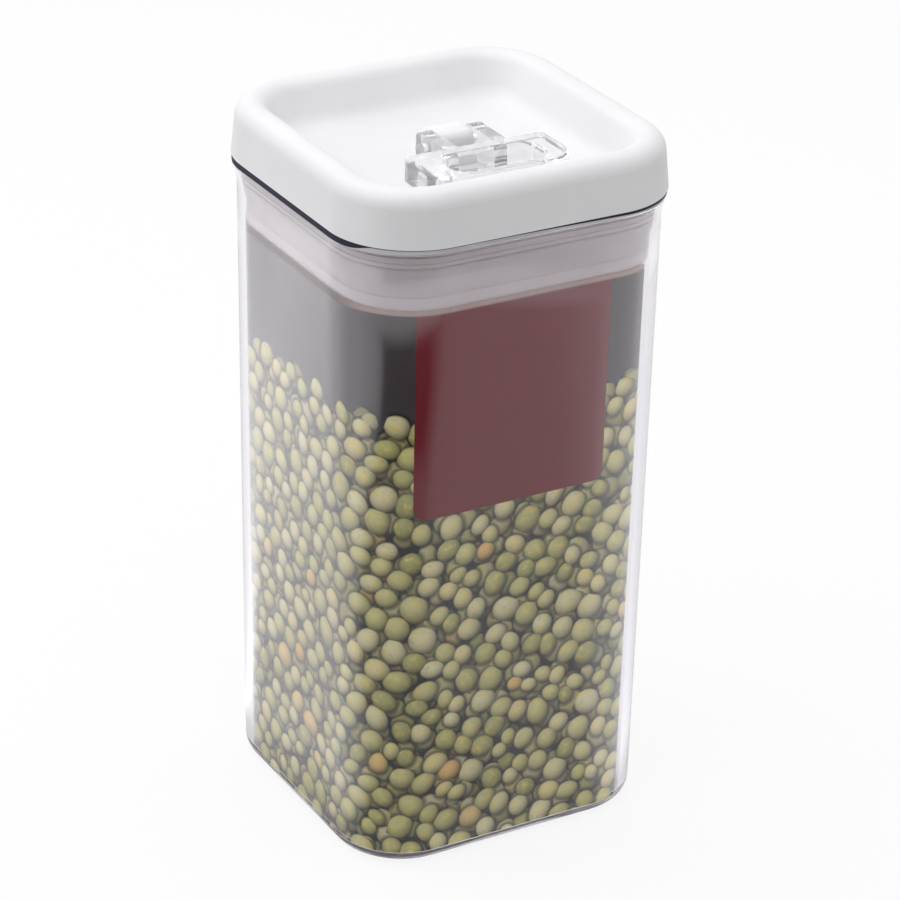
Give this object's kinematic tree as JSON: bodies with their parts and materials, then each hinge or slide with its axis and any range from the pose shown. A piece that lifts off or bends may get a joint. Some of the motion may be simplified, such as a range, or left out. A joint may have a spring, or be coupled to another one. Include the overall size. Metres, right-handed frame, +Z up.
{
  "type": "storage container",
  "caption": "Tall square clear storage canister with a printed card inside and a white dished lid, sealed and released by a clear flip ring.",
  "frame": {"origin": "centre of the jar's footprint, on the surface it stands on", "axes": "+Z up, the printed front faces -Y, +X to the right when looking at the front"},
  "size_m": [0.0974, 0.0974, 0.1986],
  "materials": {
    "clear_plastic": "polished clear moulding",
    "clear_ring": "polished clear moulding",
    "printed_card": "printed board",
    "white_plastic": "satin white moulding",
    "white_inner_plastic": "satin white moulding",
    "pale_silicone": "translucent silicone",
    "dark_seal": "dark seal rubber",
    "steel": "bright steel"
  },
  "bodies": {
    "jar": {"container_body": "clear_plastic", "label_card": "printed_card"},
    "lid": {"lid_cover": "white_plastic", "lid_base": "white_inner_plastic", "rim_seal": "dark_seal", "seal_gasket": "pale_silicone", "rod_seal": "dark_seal"},
    "plunger": {"pressure_plate": "white_inner_plastic", "plate_cap": "white_inner_plastic", "plate_screw": "steel", "pull_rod": "white_plastic", "pivot_pin": "steel"},
    "ring": {"flip_ring": "clear_ring"}
  },
  "joints": [
    {"name": "lid_lift", "type": "slide", "parent": "jar", "child": "lid", "axis": [0, 0, 1], "range_m": [0, 0.1]},
    {"name": "rod_drop", "type": "slide", "parent": "lid", "child": "plunger", "axis": [0, 0, -1], "range_m": [0, 0.0016], "deforming": ["seal_gasket"]},
    {"name": "ring_flip", "type": "hinge", "parent": "plunger", "child": "ring", "pos_m": [0, -0.002, 0.1914], "axis": [-1, 0, 0], "range_deg": [0, 90]}
  ],
  "couplings": [
    {"joint": "ring_flip", "follows": "rod_drop", "rad_per_m": 981.74}
  ]
}
